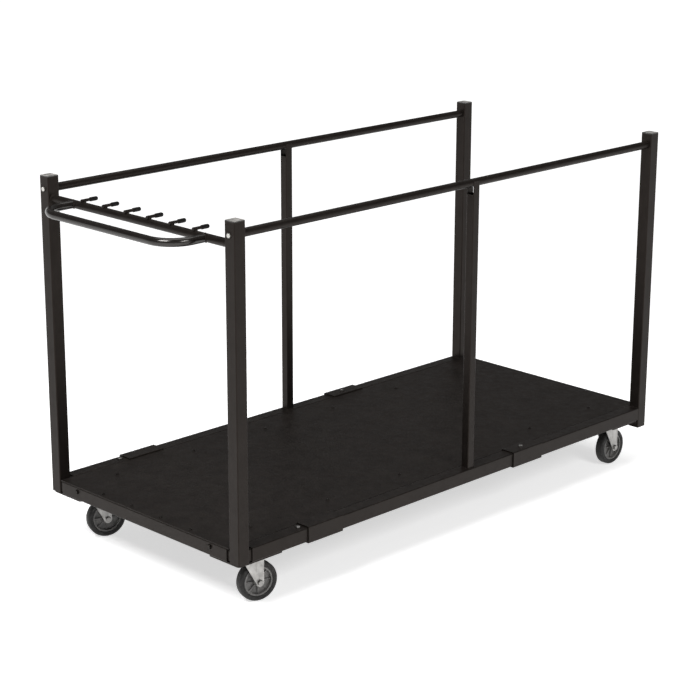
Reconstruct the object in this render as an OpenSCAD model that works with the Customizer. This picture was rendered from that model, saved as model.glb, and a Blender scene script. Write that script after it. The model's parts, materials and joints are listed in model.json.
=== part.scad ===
// Upright banquet trolley: bolted-up steel tube round an open load bay, on four swivel casters.
// The origin is on the floor, in the middle of the overall footprint.
// +X runs to the open load end, -Y is the near side and +Z is up. All lengths are in millimetres.

/* [Frame] */
// Length over the outer faces of the corner posts
frame_length = 1915; // [1700:5:2500]
// Width over the outer faces of the corner posts
frame_width = 880; // [760:2:1000]
// Height of a corner post tube above the underside of the base
post_height = 1011; // [850:1:1200]
// Side of the square tube of the posts and the base end rails
post_side = 41; // [38:1:46]
// Wall of the post tube
post_wall = 2; // [1.5:0.1:3]
// Outer corner radius of every square tube
tube_corner_r = 3; // [2.5:0.1:4]
// Thickness of the flange on a post cap
cap_flange_t = 3; // [2:0.5:5]
// Depth of the cap's plug inside the post
cap_plug_depth = 16; // [10:1:30]

/* [Top rails] */
// Diameter of the round tube of the rails and the push handle
rail_d = 25.4; // [22:0.2:30]
// Wall of the round tube
rail_wall = 1.6; // [1.2:0.1:2.5]
// Drop of the long rails' axis below the post tubes' tops
rail_drop = 38; // [30:1:50]
// Drop of the handle end rail's axis below the post tubes' tops
end_rail_drop = 68; // [60:1:110]
// Distance of the mid uprights from the handle end
upright_x = 1002; // [700:1:1150]
// Wall of the mid upright's square tube
upright_wall = 1.5; // [1.2:0.1:2]
// Depth of the upright's open saddle below the long rail
saddle_depth = 23; // [10:1:40]
// Reach of the saddle's cheeks above the long rail's axis
saddle_lip = 5; // [2:1:10]

/* [Push handle] */
// Spacing of the handle's two legs, axis to axis
handle_span = 598; // [400:2:640]
// Reach of the grip from the end rail, axis to axis
handle_reach = 134; // [115:1:180]
// Bend radius of the handle's corners, at the tube's axis
handle_bend_r = 84; // [60:1:110]

/* [Pegs] */
// Number of pegs along the handle end rail
peg_count = 6; // [3:1:7]
// Spacing of the pegs
peg_pitch = 101; // [60:1:110]
// Diameter of a peg rod
peg_d = 9.5; // [8:0.5:12]
// Length of a peg rod
peg_length = 58; // [50:1:90]
// Reach of a peg behind the end rail's axis
peg_tail = 9; // [6:1:12]
// Outer diameter of the soft tip on a peg
tip_d = 13; // [12.5:0.1:16]
// Length of the soft tip
tip_length = 28; // [18:1:32]

/* [Base] */
// Side of the square core tube that runs inside each side of the base
core_side = 38; // [34:1:42]
// Wall of the core tube
core_wall = 2.5; // [2:0.1:4]
// Wall of the tubes that slip over the core
sleeve_wall = 3; // [2:0.1:4]
// Wall of the splice collars
collar_wall = 4; // [2:0.5:5]
// Length of a splice collar
collar_length = 142; // [80:1:160]
// Distance of the first splice collar from the handle end
collar_handle_x = 274; // [220:1:300]
// Distance of the second splice collar from the handle end
collar_load_x = 1202; // [1180:1:1300]
// Seam between two tubes under a collar
splice_seam = 4; // [1:0.5:8]
// Gap beside the feet of the handle-end posts, where the base tubes' cores show
foot_gap = 12; // [4:1:20]
// Side of the square tube of the deck bearers
bearer_side = 28; // [22:1:30]
// Wall of the deck bearers and cross-members
bearer_wall = 2; // [1.5:0.1:2.5]
// Distance of a bearer's axis from the outer face of the frame
bearer_inset = 127; // [125:1:200]
// Width of a cross-member
cross_width = 40; // [30:1:60]
// Thickness of the deck sheet
deck_t = 3; // [1.5:0.5:5]

/* [Casters] */
// Diameter of a wheel over the tread
wheel_d = 125; // [100:1:150]
// Width of the tread
wheel_width = 32; // [26:1:36]
// Diameter of the wheel's core under the tread
core_d = 92; // [70:1:94]
// Offset of the axle behind the swivel axis
caster_trail = 24; // [20:1:36]
// Distance of the swivel axis from the end of the frame
caster_inset_x = 114; // [108:1:140]
// Distance of the swivel axis from the side of the frame
caster_inset_y = 83; // [83:1:120]
// Turn of the near caster at the handle end as it stands, clockwise from above
turn_handle_near = 16; // [0:1:90]
// Turn of the far caster at the handle end as it stands, clockwise from above
turn_handle_far = 20; // [0:1:90]
// Length of the caster's top plate
plate_length = 105; // [100:1:112]
// Width of the caster's top plate
plate_width = 85; // [80:1:92]
// Thickness of the caster's top plate
plate_t = 4; // [3:0.5:6]
// Bolt spacing along the plate
plate_bolt_x = 80; // [78:1:84]
// Bolt spacing across the plate
plate_bolt_y = 60; // [56:1:61]
// Sheet thickness of the fork
fork_t = 3.5; // [2.5:0.5:5]
// Height of the swivel race
race_h = 6; // [4:0.5:10]
// Diameter of the swivel race
race_d = 56; // [50:1:60]
// Diameter of the kingpin
kingpin_d = 12; // [10:0.5:14]
// Diameter of the wheel axle
axle_d = 10; // [8:0.5:12]
// Thickness of the corner pad that a caster bolts to
pad_t = 5; // [4:0.5:8]

/* [Hidden] */
// Smoothness of small and large rounds
round_fn = 48;
large_fn = 96;
// Overrun of every cut past the face that it opens
cut = 1;
// Clearances: slip fit of plugs and sleeves, weld seam, shaft in its bore, swivel faces, bolt in its hole
slip_gap = 0.2;
weld_gap = 0.2;
saddle_gap = 0.1;
shaft_gap = 0.06;
swivel_gap = 0.3;
bolt_gap = 0.3;
thread_gap = 0.05;
// Smallest inner corner radius of a square tube
tube_inner_r = 0.6;

// Bolts of the frame and of the casters: shank, width over flats, head height
bolt_d = 8;
bolt_af = 13;
bolt_head_h = 5.3;
nut_h = 6.5;
axle_af = 16;
axle_head_h = 6.4;
axle_nut_h = 8;
bolt_tail = 3;

// Post caps: depth of the step round the top, wall of the plug
cap_step = 1;
cap_wall = 2;

// Threaded plugs in the tube ends: length, and thread that stays free behind the bolt
plug_length = 30;
plug_spare = 5;

// Splices: places of the seam and the bolt along a collar, setback of the stub's bolt, and bolt length
seam_share = 0.7;
collar_bolt_share = 0.45;
splice_setback = 19;
splice_bolt_length = 22;

// Necks at the ends of the handle-end base rail: side, wall, and grip inside the rail
neck_side = 33;
neck_wall = 3;
neck_grip = 20;

// Pegs and tips: wall of the tip past the rod's end
tip_end = 3;

// Deck: clearance beside the side tubes, posts and collars, and setback from the posts' outer faces
deck_side_gap = 0.5;
deck_end_gap = 1;
// Places of the two cross-members along the frame
cross_member_shares = [0.30, 0.57];

// Corner pads: setback from the frame's faces and from the dropped rail, margin past the caster plate,
// corner radius
pad_inset = 3;
pad_rail_gap = 1;
pad_margin = 12;
pad_corner_r = 10;

// Caster: plate corners, fork outline, crown, headroom over the tread
plate_corner_r = 8;
race_taper = 2;
fork_front = 30;
fork_shoulder = 12;
fork_eye_r = 13;
fork_eye_share = 0.95;
fork_bend_r = 6;
fork_inner_bend_r = 2;
fork_side_gap = 5;
fork_crown_r = 41;
fork_crown_h = 5;
kingpin_head_d = 20;
kingpin_head_h = 6;
wheel_headroom = 15;

// Wheel: hub, web, rim, ribs and tread shoulder
hub_d = 30;
hub_side_gap = 0.4;
web_t = 8;
rim_t = 5;
rim_width = 27;
rib_count = 8;
rib_t = 3;
rib_width = 18;
rib_root = 1;
tread_gap = 0.05;
shoulder_r = 8;

// Derived sizes of the tubes that fit each other
sleeve_side = core_side + 2 * (sleeve_wall + slip_gap);
collar_side = sleeve_side + 2 * (collar_wall + slip_gap);
upright_side = rail_d + 2 * (upright_wall + saddle_gap);
cross_height = post_side - bearer_side;
plug_d = rail_d - 2 * rail_wall - 2 * slip_gap;
bearer_plug_side = bearer_side - 2 * bearer_wall - 2 * slip_gap;

// Derived heights above the underside of the base
rail_z = post_height - rail_drop;
end_rail_z = post_height - end_rail_drop;
peg_z = end_rail_z + rail_d / 2 + peg_d / 2 + weld_gap;
saddle_z = rail_z - rail_d / 2 - saddle_depth;
bearer_z = post_side - bearer_side / 2;

// Derived places along the frame, from the handle end's outer face
post_axis = post_side / 2;
collar_xs = [collar_handle_x, collar_load_x];
seam_xs = [collar_handle_x + seam_share * collar_length, collar_load_x + seam_share * collar_length];
side_axis = sleeve_side / 2;
splice_xs = [collar_handle_x - splice_setback, collar_load_x + collar_bolt_share * collar_length];
deck_edge = max(sleeve_side, post_side) + deck_side_gap;
deck_notch = sleeve_side + collar_wall + slip_gap + deck_side_gap;

// Derived values for the handle end and the load end: drop of the posts' feet and the base rail below the
// side tubes, which lets the bearers lie over the rail, and start of the corner pads
end_drops = [0, bearer_side];
pad_starts = [pad_inset, post_side + pad_rail_gap];

// Derived heights in a caster, below the underside of its pad
fork_top = -(plate_t + race_h + swivel_gap);
crown_low = fork_top - fork_t;
caster_height = -crown_low + swivel_gap + kingpin_head_h + wheel_headroom + wheel_d;
axle_z = wheel_d / 2 - caster_height;
fork_gap = wheel_width + 2 * fork_side_gap;
hub_width = fork_gap - 2 * hub_side_gap;
fork_back = caster_trail + fork_eye_r;

// Turns of the casters as they stand: near and far at the handle end, then at the load end
caster_turns = [[turn_handle_near, turn_handle_far], [0, 0]];

// The base stands on its casters, and the footprint takes in the handle and the bolt heads
base_z = caster_height + pad_t;
handle_out = handle_reach + rail_d / 2 - post_axis;
frame_x = (handle_out - frame_length - bolt_head_h) / 2;

// Colours as seen on the object
coat_black = "#2b2826";
cap_black = "#1e1d1c";
tip_black = "#161616";
zinc = "#c8c9c6";
rubber = "#3b3b3d";
core_grey = "#85878a";

// The ends and sides of the frame, as what mirrors a piece that is drawn at the near handle corner
handle = 0;
load = 1;
near = 0;
far = 1;

// Carries a piece from the frame's own corner to its place over the floor
module on_frame() {
    translate([frame_x, -frame_width / 2, base_z]) children();
}

// Turns a piece drawn at the handle end into the one at either end
module at_end(end) {
    translate([end * frame_length, 0, 0]) mirror([end, 0, 0]) children();
}

// Turns a piece drawn on the near side into the one on either side
module at_side(side) {
    translate([0, side * frame_width, 0]) mirror([0, side, 0]) children();
}

module at_corner(end, side) {
    on_frame() at_end(end) at_side(side) children();
}

module at_every_corner() {
    for (end = [handle, load], side = [near, far]) at_corner(end, side) children();
}

// A profile carried along X: its x runs along Y and its y along Z
module along_x(length) {
    rotate([90, 0, 90]) linear_extrude(length) children();
}

// A profile carried along Y: its x runs along X and its y along Z
module along_y(length) {
    translate([0, length, 0]) rotate([90, 0, 0]) linear_extrude(length) children();
}

module rod_x(d, length) {
    rotate([0, 90, 0]) cylinder(d = d, h = length, $fn = round_fn);
}

module rod_y(d, length) {
    rotate([-90, 0, 0]) cylinder(d = d, h = length, $fn = round_fn);
}

module rounded_rect(w, h, r) {
    square([w - 2 * r, h], center = true);
    square([w, h - 2 * r], center = true);
    for (x = [-1, 1], y = [-1, 1])
        translate([x * (w / 2 - r), y * (h / 2 - r)]) circle(r, $fn = round_fn);
}

// Section of a rectangular tube with rounded corners
module box_section(w, h, wall) {
    difference() {
        rounded_rect(w, h, tube_corner_r);
        rounded_rect(w - 2 * wall, h - 2 * wall, max(tube_corner_r - wall, tube_inner_r));
    }
}

// Section of the round rail tube
module ring_section() {
    difference() {
        circle(d = rail_d, $fn = round_fn);
        circle(d = rail_d - 2 * rail_wall, $fn = round_fn);
    }
}

// A hexagon head or nut that stands on the plane z = 0
module hex(af, h) {
    cylinder(d = af / cos(30), h = h, $fn = 6);
}

// A bolt along +Z whose head sits under the plane z = 0
module hex_bolt(d, af, head_h, length) {
    translate([0, 0, -head_h]) hex(af, head_h);
    translate([0, 0, -cut]) cylinder(d = d, h = length + cut, $fn = round_fn);
}

module post(end, side) {
    color(coat_black) at_corner(end, side) difference() {
        translate([post_axis, post_axis, -end_drops[end]])
            linear_extrude(post_height + end_drops[end]) box_section(post_side, post_side, post_wall);
        translate([-cut, post_axis, rail_z]) rod_x(bolt_d + 2 * bolt_gap, post_side + 2 * cut);
    }
}

// Plugged caps that close the posts' tops, with a step round the flange
module post_caps() {
    plug = post_side - 2 * post_wall - 2 * slip_gap;
    color(cap_black) at_every_corner() translate([post_axis, post_axis, post_height]) {
        linear_extrude(cap_flange_t - cap_step) rounded_rect(post_side, post_side, tube_corner_r);
        linear_extrude(cap_flange_t)
            rounded_rect(post_side - 2 * cap_step, post_side - 2 * cap_step, tube_corner_r - cap_step);
        translate([0, 0, -cap_plug_depth]) linear_extrude(cap_plug_depth + cap_step) difference() {
            rounded_rect(plug, plug, tube_inner_r);
            square(plug - 2 * cap_wall, center = true);
        }
    }
}

// Long rail between two posts, above one side of the load bay
module top_rail(side) {
    color(coat_black) on_frame() at_side(side)
        translate([post_side, post_axis, rail_z])
        along_x(frame_length - 2 * post_side) ring_section();
}

// Bolts through the posts into the ends of the long rails
module rail_bolts() {
    color(zinc) at_every_corner() translate([0, post_axis, rail_z]) rotate([0, 90, 0])
        hex_bolt(bolt_d, bolt_af, bolt_head_h, post_side + plug_length - plug_spare);
}

// Threaded plugs that the rail bolts draw up against the posts
module rail_plugs() {
    color(zinc) at_every_corner() translate([post_side, post_axis, rail_z]) difference() {
        rod_x(plug_d, plug_length);
        translate([-cut, 0, 0]) rod_x(bolt_d + 2 * thread_gap, plug_length + 2 * cut);
    }
}

// Mid upright, welded on the side sleeve, with an open saddle whose cheeks hold the long rail
module mid_upright(side) {
    top = rail_z + saddle_lip;
    inner = upright_side - 2 * upright_wall;
    color(coat_black) on_frame() at_side(side) translate([upright_x, post_axis, 0]) difference() {
        translate([0, 0, sleeve_side])
            linear_extrude(top - sleeve_side) box_section(upright_side, upright_side, upright_wall);
        translate([-upright_side / 2 - cut, -inner / 2, saddle_z])
            cube([upright_side + 2 * cut, inner, top - saddle_z + cut]);
    }
}

module handle_end_rail() {
    color(coat_black) on_frame() translate([post_axis, post_side, end_rail_z])
        along_y(frame_width - 2 * post_side) ring_section();
}

// Bent tube handle whose legs are coped to the end rail
module push_handle() {
    leg = handle_reach - handle_bend_r;
    grip = handle_span - 2 * handle_bend_r;
    color(coat_black) on_frame() translate([post_axis, frame_width / 2, end_rail_z]) difference() {
        union() {
            for (side = [-1, 1]) {
                translate([-leg, side * handle_span / 2, 0]) along_x(leg) ring_section();
                translate([-leg, side * grip / 2, 0]) rotate([0, 0, side < 0 ? 180 : 90])
                    rotate_extrude(angle = 90, $fn = large_fn)
                    translate([handle_bend_r, 0]) ring_section();
            }
            translate([-handle_reach, -grip / 2, 0]) along_y(grip) ring_section();
        }
        translate([0, -frame_width / 2, 0]) rod_y(rail_d + 2 * weld_gap, frame_width);
    }
}

// Places a piece at every peg, on the peg's axis above the end rail
module at_every_peg() {
    first = frame_width / 2 - peg_pitch * (peg_count - 1) / 2;
    for (k = [0 : peg_count - 1])
        on_frame() translate([post_axis - peg_tail, first + k * peg_pitch, peg_z]) children();
}

// Rods welded across the top of the end rail
module spacer_pegs() {
    color(coat_black) at_every_peg() rod_x(peg_d, peg_length);
}

// Soft round-nosed tips pushed over the pegs
module peg_tips() {
    color(tip_black) at_every_peg() difference() {
        union() {
            translate([peg_length + tip_end - tip_length, 0, 0]) rod_x(tip_d, tip_length - tip_d / 2);
            translate([peg_length + tip_end - tip_d / 2, 0, 0]) sphere(d = tip_d, $fn = round_fn);
        }
        rod_x(peg_d + 2 * thread_gap, peg_length + thread_gap);
    }
}

// Base rail between the handle-end posts, necked beside their feet and drilled for the bearers' bolts
module base_end_rail_handle() {
    grip_side = post_side - post_wall;
    color(coat_black) on_frame() difference() {
        translate([post_axis, 0, post_axis]) {
            translate([0, post_side + foot_gap, 0])
                along_y(frame_width - 2 * (post_side + foot_gap))
                box_section(post_side, post_side, post_wall);
            for (side = [near, far]) at_side(side) {
                translate([0, post_side, 0])
                    along_y(foot_gap + neck_grip) box_section(neck_side, neck_side, neck_wall);
                translate([0, post_side + foot_gap, 0])
                    along_y(neck_grip)
                    box_section(grip_side, grip_side, (grip_side - neck_side) / 2 + neck_wall);
            }
        }
        for (side = [near, far]) at_side(side)
            translate([-cut, bearer_inset, bearer_z]) rod_x(bolt_d + 2 * bolt_gap, post_side + 2 * cut);
    }
}

// Dropped base rail between the load-end posts, drilled from below for the bearers' bolts
module base_end_rail_load() {
    color(coat_black) on_frame() at_end(load) difference() {
        translate([post_axis, post_side, post_axis - end_drops[load]])
            along_y(frame_width - 2 * post_side) box_section(post_side, post_side, post_wall);
        for (side = [near, far]) at_side(side)
            translate([post_axis, bearer_inset, -end_drops[load] - cut])
            cylinder(d = bolt_d + 2 * bolt_gap, h = post_side + 2 * cut, $fn = round_fn);
    }
}

// A length of square tube along one side of the base, drilled from above for the splice bolts
module side_tube(side, tube_side, wall, start, end) {
    color(coat_black) on_frame() at_side(side) difference() {
        translate([start, side_axis, side_axis])
            along_x(end - start) box_section(tube_side, tube_side, wall);
        for (x = splice_xs) if (x > start && x < end)
            translate([x, side_axis, side_axis])
                cylinder(d = bolt_d + 2 * bolt_gap, h = tube_side, $fn = round_fn);
    }
}

module corner_stub_handle(side) {
    side_tube(side, sleeve_side, sleeve_wall, post_side + foot_gap, seam_xs[0] - splice_seam / 2);
}

module corner_stub_load(side) {
    side_tube(side, sleeve_side, sleeve_wall, seam_xs[1] + splice_seam / 2, frame_length - post_side);
}

module core_tube(side) {
    side_tube(side, core_side, core_wall, post_side, frame_length - post_side);
}

module side_sleeve(side) {
    side_tube(side, sleeve_side, sleeve_wall,
        seam_xs[0] + splice_seam / 2, seam_xs[1] - splice_seam / 2);
}

// Collars over the two seams of one side
module splice_collar(side) {
    for (start = collar_xs) side_tube(side, collar_side, collar_wall, start, start + collar_length);
}

// Bolts from above that pin the stubs and the collars to the core tubes
module splice_bolts() {
    color(zinc) for (side = [near, far], x = splice_xs)
        on_frame() at_side(side)
            translate([x, side_axis, side_axis + (x == splice_xs[1] ? collar_side : sleeve_side) / 2])
            rotate([180, 0, 0]) hex_bolt(bolt_d, bolt_af, bolt_head_h, splice_bolt_length);
}

// Flat tube across the base, between the side sleeves and under the bearers
module cross_member(end) {
    color(coat_black) on_frame()
        translate([cross_member_shares[end] * frame_length, sleeve_side, cross_height / 2])
        along_y(frame_width - 2 * sleeve_side) box_section(cross_width, cross_height, bearer_wall);
}

// Tube along the base that carries the deck: it meets the handle-end rail and lies over the dropped one
module deck_bearer(side) {
    color(coat_black) on_frame() at_side(side) difference() {
        translate([post_side, bearer_inset, bearer_z])
            along_x(frame_length - post_side) box_section(bearer_side, bearer_side, bearer_wall);
        translate([frame_length - post_axis, bearer_inset, cross_height - cut])
            cylinder(d = bolt_d + 2 * bolt_gap, h = bearer_side / 2, $fn = round_fn);
    }
}

// Bolts through the end rails into the bearers, from below at the load end
module bearer_bolts() {
    color(coat_black) for (side = [near, far]) {
        at_corner(handle, side) translate([0, bearer_inset, bearer_z]) rotate([0, 90, 0])
            hex_bolt(bolt_d, bolt_af, bolt_head_h, post_side + plug_length - plug_spare);
        at_corner(load, side) translate([post_axis, bearer_inset, -end_drops[load]])
            hex_bolt(bolt_d, bolt_af, bolt_head_h,
                post_side + bearer_side - bearer_wall - slip_gap - plug_spare);
    }
}

module bearer_plug() {
    along_x(plug_length) rounded_rect(bearer_plug_side, bearer_plug_side, tube_inner_r);
}

// Threaded plugs in the ends of the bearers
module bearer_plugs() {
    thread_d = bolt_d + 2 * thread_gap;
    color(zinc) for (side = [near, far]) {
        at_corner(handle, side) translate([post_side, bearer_inset, bearer_z]) difference() {
            bearer_plug();
            translate([-cut, 0, 0]) rod_x(thread_d, plug_length + 2 * cut);
        }
        at_corner(load, side) translate([post_axis, bearer_inset, bearer_z]) difference() {
            translate([-plug_length / 2, 0, 0]) bearer_plug();
            translate([0, 0, -bearer_side / 2]) cylinder(d = thread_d, h = bearer_side, $fn = round_fn);
        }
    }
}

// Sheet deck over the handle-end rail and the bearers, notched round the splice collars
module deck_sheet() {
    color(coat_black) on_frame() translate([0, 0, post_side]) linear_extrude(deck_t) difference() {
        translate([deck_end_gap, deck_edge])
            square([frame_length - 2 * deck_end_gap, frame_width - 2 * deck_edge]);
        for (start = collar_xs, y = [0, frame_width - deck_notch])
            translate([start - deck_side_gap, y]) square([collar_length + 2 * deck_side_gap, deck_notch]);
    }
}

// Places a piece at a caster: its swivel axis is Z and the underside of its pad is z = 0
module at_caster(end, side) {
    translate([
        frame_x + (end == handle ? caster_inset_x : frame_length - caster_inset_x),
        (side == near ? -1 : 1) * (frame_width / 2 - caster_inset_y),
        caster_height
    ]) children();
}

// Places a piece that turns with a caster's fork
module on_fork(end, side) {
    at_caster(end, side) rotate([0, 0, -caster_turns[end][side]]) children();
}

module at_every_caster() {
    for (end = [handle, load], side = [near, far]) at_caster(end, side) children();
}

module at_plate_bolts() {
    for (x = [-1, 1], y = [-1, 1]) translate([x * plate_bolt_x / 2, y * plate_bolt_y / 2, 0]) children();
}

module plate_holes(z, h) {
    at_plate_bolts() translate([0, 0, z - cut])
        cylinder(d = bolt_d + 2 * bolt_gap, h = h + 2 * cut, $fn = round_fn);
}

// Plate under one corner of the base, drawn at the near handle corner
module caster_pad(start) {
    pad_x = caster_inset_x + plate_length / 2 + pad_margin - start;
    pad_y = caster_inset_y + plate_width / 2 + pad_margin - pad_inset;
    translate([start + pad_x / 2, pad_inset + pad_y / 2, -pad_t])
        linear_extrude(pad_t) rounded_rect(pad_x, pad_y, pad_corner_r);
}

// Plates welded under the base's corners, drilled for the casters
module caster_pads() {
    color(coat_black) difference() {
        for (end = [handle, load], side = [near, far]) at_corner(end, side) caster_pad(pad_starts[end]);
        at_every_caster() plate_holes(0, pad_t);
    }
}

module caster_plate(end, side) {
    color(zinc) at_caster(end, side) difference() {
        translate([0, 0, -plate_t]) linear_extrude(plate_t)
            rounded_rect(plate_length, plate_width, plate_corner_r);
        plate_holes(-plate_t, plate_t);
        translate([0, 0, -plate_t - cut])
            cylinder(d = kingpin_d + 2 * thread_gap, h = plate_t + 2 * cut, $fn = round_fn);
    }
}

// Bolts from below through the caster plates and the pads
module caster_bolts() {
    color(zinc) at_every_caster() at_plate_bolts() translate([0, 0, -plate_t])
        hex_bolt(bolt_d, bolt_af, bolt_head_h, plate_t + pad_t + nut_h + bolt_tail);
}

module caster_nuts() {
    color(zinc) at_every_caster() at_plate_bolts() translate([0, 0, pad_t]) difference() {
        hex(bolt_af, nut_h);
        translate([0, 0, -cut])
            cylinder(d = bolt_d + 2 * thread_gap, h = nut_h + 2 * cut, $fn = round_fn);
    }
}

// Tapered rings under the plates that the forks turn against
module swivel_races() {
    bore_r = kingpin_d / 2 + thread_gap;
    color(zinc) at_every_caster() translate([0, 0, -plate_t]) rotate_extrude($fn = large_fn)
        polygon([
            [bore_r, 0], [race_d / 2, 0], [race_d / 2 - race_taper, -race_h], [bore_r, -race_h]
        ]);
}

// Pins that hang the forks from the plates, each with a head under its fork's crown
module kingpins() {
    head_z = crown_low - swivel_gap;
    color(zinc) at_every_caster() {
        translate([0, 0, head_z - cut]) cylinder(d = kingpin_d, h = cut - head_z, $fn = round_fn);
        translate([0, 0, head_z - kingpin_head_h])
            cylinder(d = kingpin_head_d, h = kingpin_head_h, $fn = round_fn);
    }
}

// Point where the line from p touches the circle of radius r about c, on the left or right of the line
function tangent_point(p, c, r, turn) =
    let (v = p - c, a = atan2(v[1], v[0]) + turn * acos(r / norm(v)))
    c + r * [cos(a), sin(a)];

// Side outline of the fork: a crown, and legs that taper to the eyes at the axle
module fork_outline() {
    eye = [caster_trail, axle_z];
    front = [-fork_front, fork_top - fork_shoulder];
    back = [fork_back, fork_top - fork_shoulder];
    polygon([
        [-fork_front, fork_top], [fork_back, fork_top], back,
        tangent_point(back, eye, fork_eye_share * fork_eye_r, -1),
        tangent_point(front, eye, fork_eye_share * fork_eye_r, 1), front
    ]);
}

// Arch open at the bottom, with rounded upper corners
module arch(w, top, low, r) {
    translate([-w / 2, low]) square([w, top - r - low]);
    translate([-w / 2 + r, low]) square([w - 2 * r, top - low]);
    for (x = [-1, 1]) translate([x * (w / 2 - r), top - r]) circle(r, $fn = round_fn);
}

// Front section of the fork: bent sheet over the wheel
module fork_section() {
    low = axle_z - fork_eye_r - cut;
    difference() {
        arch(fork_gap + 2 * fork_t, fork_top, low, fork_bend_r);
        arch(fork_gap, crown_low, low - cut, fork_inner_bend_r);
    }
}

// Bent sheet fork with a round crown, hung on the kingpin and drilled for the axle
module caster_fork(end, side) {
    span = fork_front + fork_back;
    width = fork_gap + 2 * fork_t;
    color(zinc) on_fork(end, side) difference() {
        union() {
            intersection() {
                translate([-span, 0, 0]) along_x(2 * span) fork_section();
                translate([0, -width, 0]) along_y(2 * width) fork_outline();
            }
            for (y = [-width / 2, fork_gap / 2])
                translate([caster_trail, y, axle_z]) rod_y(2 * fork_eye_r, fork_t);
        }
        translate([0, 0, fork_top - fork_crown_h]) difference() {
            translate([-span, -span, 0]) cube([2 * span, 2 * span, fork_crown_h + cut]);
            translate([0, 0, -cut])
                cylinder(r = fork_crown_r, h = fork_crown_h + 3 * cut, $fn = large_fn);
        }
        translate([0, 0, crown_low - cut])
            cylinder(d = kingpin_d + 2 * shaft_gap, h = fork_t + 2 * cut, $fn = round_fn);
        translate([caster_trail, -width, axle_z]) rod_y(axle_d + 2 * thread_gap, 2 * width);
    }
}

// Axle bolt through the fork's eyes, with its nut
module caster_axle(end, side) {
    half = fork_gap / 2 + fork_t;
    color(zinc) on_fork(end, side) translate([caster_trail, 0, axle_z]) {
        translate([0, -half, 0]) rotate([-90, 0, 0])
            hex_bolt(axle_d, axle_af, axle_head_h, 2 * half + axle_nut_h + bolt_tail);
        translate([0, half, 0]) rotate([-90, 0, 0]) difference() {
            hex(axle_af, axle_nut_h);
            translate([0, 0, -cut])
                cylinder(d = axle_d + 2 * thread_gap, h = axle_nut_h + 2 * cut, $fn = round_fn);
        }
    }
}

// Turns a shape drawn about Z onto the axle of a caster
module on_axle(end, side) {
    on_fork(end, side) translate([caster_trail, 0, axle_z]) rotate([-90, 0, 0]) children();
}

// Ribbed core: hub, web and rim in one moulding
module wheel_core(end, side) {
    rim_in = core_d / 2 - rim_t;
    color(core_grey) on_axle(end, side) difference() {
        union() {
            rotate_extrude($fn = large_fn) {
                translate([0, -hub_width / 2]) square([hub_d / 2, hub_width]);
                translate([0, -web_t / 2]) square([core_d / 2, web_t]);
                translate([rim_in, -rim_width / 2]) square([rim_t, rim_width]);
            }
            for (k = [0 : rib_count - 1]) rotate([0, 0, k * 360 / rib_count])
                translate([hub_d / 2 - rib_root, -rib_t / 2, -rib_width / 2])
                cube([rim_in - hub_d / 2 + 2 * rib_root, rib_t, rib_width]);
        }
        translate([0, 0, -hub_width])
            cylinder(d = axle_d + 2 * shaft_gap, h = 2 * hub_width, $fn = round_fn);
    }
}

// Rubber tread with rounded shoulders
module wheel_tread(end, side) {
    inner = core_d / 2 + tread_gap;
    outer = wheel_d / 2;
    color(rubber) on_axle(end, side) rotate_extrude($fn = large_fn) {
        translate([inner, -wheel_width / 2]) square([outer - shoulder_r - inner, wheel_width]);
        translate([inner, shoulder_r - wheel_width / 2])
            square([outer - inner, wheel_width - 2 * shoulder_r]);
        for (y = [-1, 1]) translate([outer - shoulder_r, y * (wheel_width / 2 - shoulder_r)])
            circle(shoulder_r, $fn = round_fn);
    }
}

post(handle, near);  // post_handle_near
post(handle, far);  // post_handle_far
post(load, near);  // post_load_near
post(load, far);  // post_load_far
post_caps();
top_rail(near);  // top_rail_near
top_rail(far);  // top_rail_far
mid_upright(near);  // mid_upright_near
mid_upright(far);  // mid_upright_far
handle_end_rail();
push_handle();
spacer_pegs();
peg_tips();
base_end_rail_handle();
base_end_rail_load();
corner_stub_handle(near);  // corner_stub_handle_near
corner_stub_handle(far);  // corner_stub_handle_far
corner_stub_load(near);  // corner_stub_load_near
corner_stub_load(far);  // corner_stub_load_far
core_tube(near);  // core_tube_near
core_tube(far);  // core_tube_far
side_sleeve(near);  // side_sleeve_near
side_sleeve(far);  // side_sleeve_far
splice_collar(near);  // splice_collar_near
splice_collar(far);  // splice_collar_far
cross_member(handle);  // cross_member_handle
cross_member(load);  // cross_member_load
deck_bearer(near);  // deck_bearer_near
deck_bearer(far);  // deck_bearer_far
deck_sheet();
caster_pads();
rail_bolts();
rail_plugs();
splice_bolts();
bearer_bolts();
bearer_plugs();
caster_plate(handle, near);  // caster_plate_handle_near
caster_plate(handle, far);  // caster_plate_handle_far
caster_plate(load, near);  // caster_plate_load_near
caster_plate(load, far);  // caster_plate_load_far
caster_fork(handle, near);  // caster_fork_handle_near
caster_fork(handle, far);  // caster_fork_handle_far
caster_fork(load, near);  // caster_fork_load_near
caster_fork(load, far);  // caster_fork_load_far
caster_axle(handle, near);  // caster_axle_handle_near
caster_axle(handle, far);  // caster_axle_handle_far
caster_axle(load, near);  // caster_axle_load_near
caster_axle(load, far);  // caster_axle_load_far
wheel_core(handle, near);  // wheel_core_handle_near
wheel_core(handle, far);  // wheel_core_handle_far
wheel_core(load, near);  // wheel_core_load_near
wheel_core(load, far);  // wheel_core_load_far
wheel_tread(handle, near);  // wheel_tread_handle_near
wheel_tread(handle, far);  // wheel_tread_handle_far
wheel_tread(load, near);  // wheel_tread_load_near
wheel_tread(load, far);  // wheel_tread_load_far
kingpins();
swivel_races();
caster_bolts();
caster_nuts();
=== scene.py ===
"""Looks of an upright banquet trolley: black powder-coated tube on bright zinc casters.

Lengths are in metres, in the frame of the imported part: +X runs from the push handle to the open
load end, -Y is the near side and +Z is up from the floor.
"""

import json
import math

import bpy
import numpy as np
from mathutils import Matrix, Vector


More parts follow.
